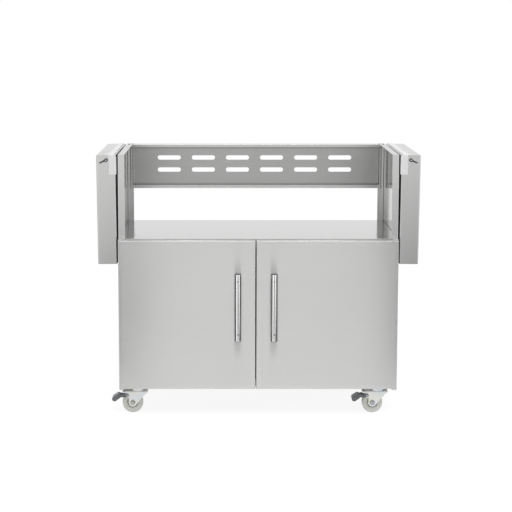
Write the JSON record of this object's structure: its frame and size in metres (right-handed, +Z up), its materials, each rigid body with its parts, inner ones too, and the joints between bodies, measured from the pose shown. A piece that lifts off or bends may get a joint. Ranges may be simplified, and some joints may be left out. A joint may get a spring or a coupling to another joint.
{
  "type": "grill cart",
  "caption": "Rolling stainless cart for a drop-in grill: open bay above a two-door cabinet, fold-down side shelves and swivel casters with brakes.",
  "frame": {"origin": "on the floor under the middle of the cart's overall box, handles included", "axes": "+X to the right seen from the door side, +Y from the doors to the back, +Z up"},
  "size_m": [1.1302, 0.618, 0.9302],
  "materials": {
    "brushed_stainless": "horizontally brushed",
    "polished_steel": "bright polished",
    "satin_steel": "satin, bead blasted",
    "zinc_steel": "zinc plated",
    "black_plastic": "matte",
    "hub_plastic": "moulded",
    "tyre": "non-marking grey rubber",
    "pedal_plastic": "dark grey, moulded",
    "bumper_rubber": "matte"
  },
  "bodies": {
    "cart": {"caster_plates": "zinc_steel", "deck": "brushed_stainless", "floor_pan": "brushed_stainless", "left_door_pivot_brackets": "zinc_steel", "left_door_pivot_pins": "zinc_steel", "left_shelf_arms": "zinc_steel", "left_shelf_pivot_bolts": "zinc_steel", "left_side_panel": "brushed_stainless", "lower_back_panel": "brushed_stainless", "magnet_catches": "black_plastic", "right_door_pivot_brackets": "zinc_steel", "right_door_pivot_pins": "zinc_steel", "right_shelf_arms": "zinc_steel", "right_shelf_pivot_bolts": "zinc_steel", "right_side_panel": "brushed_stainless", "upper_back_panel": "brushed_stainless"},
    "left_door": {"left_door_liner": "brushed_stainless", "left_door_skin": "brushed_stainless", "left_handle_bar": "polished_steel", "left_handle_posts": "polished_steel", "left_strike_plate": "zinc_steel"},
    "left_shelf": {"left_shelf_bumpers": "bumper_rubber", "left_shelf_pan": "brushed_stainless", "left_shelf_stiffener": "brushed_stainless", "left_shelf_strap": "satin_steel"},
    "left_clamp": {"left_clamp_lever": "black_plastic"},
    "right_door": {"right_door_liner": "brushed_stainless", "right_door_skin": "brushed_stainless", "right_handle_bar": "polished_steel", "right_handle_posts": "polished_steel", "right_strike_plate": "zinc_steel"},
    "right_shelf": {"right_shelf_bumpers": "bumper_rubber", "right_shelf_pan": "brushed_stainless", "right_shelf_stiffener": "brushed_stainless", "right_shelf_strap": "satin_steel"},
    "right_clamp": {"right_clamp_lever": "black_plastic"},
    "front_left_swivel": {"front_left_axle": "zinc_steel", "front_left_fork": "zinc_steel"},
    "front_left_wheel": {"front_left_tyre": "tyre", "front_left_wheel_hub": "hub_plastic"},
    "front_left_brake": {"front_left_brake_pedal": "pedal_plastic"},
    "front_right_swivel": {"front_right_axle": "zinc_steel", "front_right_fork": "zinc_steel"},
    "front_right_wheel": {"front_right_tyre": "tyre", "front_right_wheel_hub": "hub_plastic"},
    "front_right_brake": {"front_right_brake_pedal": "pedal_plastic"},
    "rear_left_swivel": {"rear_left_axle": "zinc_steel", "rear_left_fork": "zinc_steel"},
    "rear_left_wheel": {"rear_left_tyre": "tyre", "rear_left_wheel_hub": "hub_plastic"},
    "rear_right_swivel": {"rear_right_axle": "zinc_steel", "rear_right_fork": "zinc_steel"},
    "rear_right_wheel": {"rear_right_tyre": "tyre", "rear_right_wheel_hub": "hub_plastic"}
  },
  "joints": [
    {"name": "left_door_swing", "type": "hinge", "parent": "cart", "child": "left_door", "pos_m": [-0.481, -0.249, 0.103], "axis": [0, 0, -1], "range_deg": [0, 110]},
    {"name": "left_shelf_fold", "type": "hinge", "parent": "cart", "child": "left_shelf", "pos_m": [-0.53, 0, 0.911], "axis": [0, 1, 0], "range_deg": [0, 90.5]},
    {"name": "left_clamp_turn", "type": "hinge", "parent": "cart", "child": "left_clamp", "pos_m": [-0.53, -0.231, 0.911], "axis": [0, -1, 0], "range_deg": [0, 60]},
    {"name": "right_door_swing", "type": "hinge", "parent": "cart", "child": "right_door", "pos_m": [0.481, -0.249, 0.103], "axis": [0, 0, 1], "range_deg": [0, 110]},
    {"name": "right_shelf_fold", "type": "hinge", "parent": "cart", "child": "right_shelf", "pos_m": [0.53, 0, 0.911], "axis": [0, -1, 0], "range_deg": [0, 90.5]},
    {"name": "right_clamp_turn", "type": "hinge", "parent": "cart", "child": "right_clamp", "pos_m": [0.53, -0.231, 0.911], "axis": [0, 1, 0], "range_deg": [0, 60]},
    {"name": "front_left_swivel_turn", "type": "hinge", "parent": "cart", "child": "front_left_swivel", "pos_m": [-0.429, -0.171, 0.105], "axis": [0, 0, 1], "continuous": true},
    {"name": "front_left_wheel_spin", "type": "hinge", "parent": "front_left_swivel", "child": "front_left_wheel", "pos_m": [-0.447, -0.171, 0.037], "axis": [0, 1, 0], "continuous": true},
    {"name": "front_left_brake_tip", "type": "hinge", "parent": "front_left_swivel", "child": "front_left_brake", "pos_m": [-0.467, -0.171, 0.064], "axis": [0, 1, 0], "range_deg": [0, 28]},
    {"name": "front_right_swivel_turn", "type": "hinge", "parent": "cart", "child": "front_right_swivel", "pos_m": [0.429, -0.171, 0.105], "axis": [0, 0, 1], "continuous": true},
    {"name": "front_right_wheel_spin", "type": "hinge", "parent": "front_right_swivel", "child": "front_right_wheel", "pos_m": [0.411, -0.171, 0.037], "axis": [0, 1, 0], "continuous": true},
    {"name": "front_right_brake_tip", "type": "hinge", "parent": "front_right_swivel", "child": "front_right_brake", "pos_m": [0.391, -0.171, 0.064], "axis": [0, 1, 0], "range_deg": [0, 28]},
    {"name": "rear_left_swivel_turn", "type": "hinge", "parent": "cart", "child": "rear_left_swivel", "pos_m": [-0.429, 0.249, 0.105], "axis": [0, 0, 1], "continuous": true},
    {"name": "rear_left_wheel_spin", "type": "hinge", "parent": "rear_left_swivel", "child": "rear_left_wheel", "pos_m": [-0.447, 0.249, 0.037], "axis": [0, 1, 0], "continuous": true},
    {"name": "rear_right_swivel_turn", "type": "hinge", "parent": "cart", "child": "rear_right_swivel", "pos_m": [0.429, 0.249, 0.105], "axis": [0, 0, 1], "continuous": true},
    {"name": "rear_right_wheel_spin", "type": "hinge", "parent": "rear_right_swivel", "child": "rear_right_wheel", "pos_m": [0.411, 0.249, 0.037], "axis": [0, 1, 0], "continuous": true}
  ]
}
